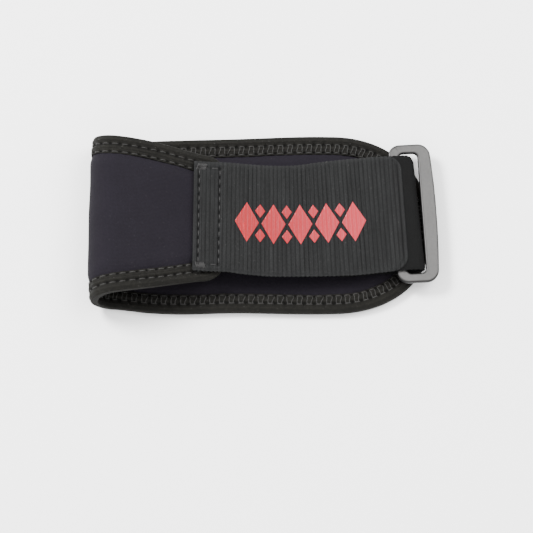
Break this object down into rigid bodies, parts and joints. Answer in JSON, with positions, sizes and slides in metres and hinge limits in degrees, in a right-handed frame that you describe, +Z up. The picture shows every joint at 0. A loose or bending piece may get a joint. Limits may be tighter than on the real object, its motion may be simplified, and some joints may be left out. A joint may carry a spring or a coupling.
{
  "type": "wrist support",
  "caption": "Bound neoprene wrist wrap lying folded over, open at both sides, with a sewn elastic strap looped round a flat ring.",
  "frame": {"origin": "middle of the underside's bounding box, on the surface that the wrap lies on", "axes": "+X from the fold to the ring, along the wrap; +Y across it, along the hollow that a wrist goes through; +Z up"},
  "size_m": [0.1404, 0.0738, 0.0208],
  "materials": {
    "neoprene_jersey": "smooth black jersey bonded to foam rubber",
    "binding_tape": "black knitted tape, sewn down with black thread",
    "elastic_webbing": "black elastic webbing with fine ribs across it",
    "ring_metal": "satin mid grey"
  },
  "bodies": {
    "root": {"neoprene_body": "neoprene_jersey", "binding": "binding_tape", "strap": "elastic_webbing", "ring": "ring_metal"}
  },
  "joints": []
}
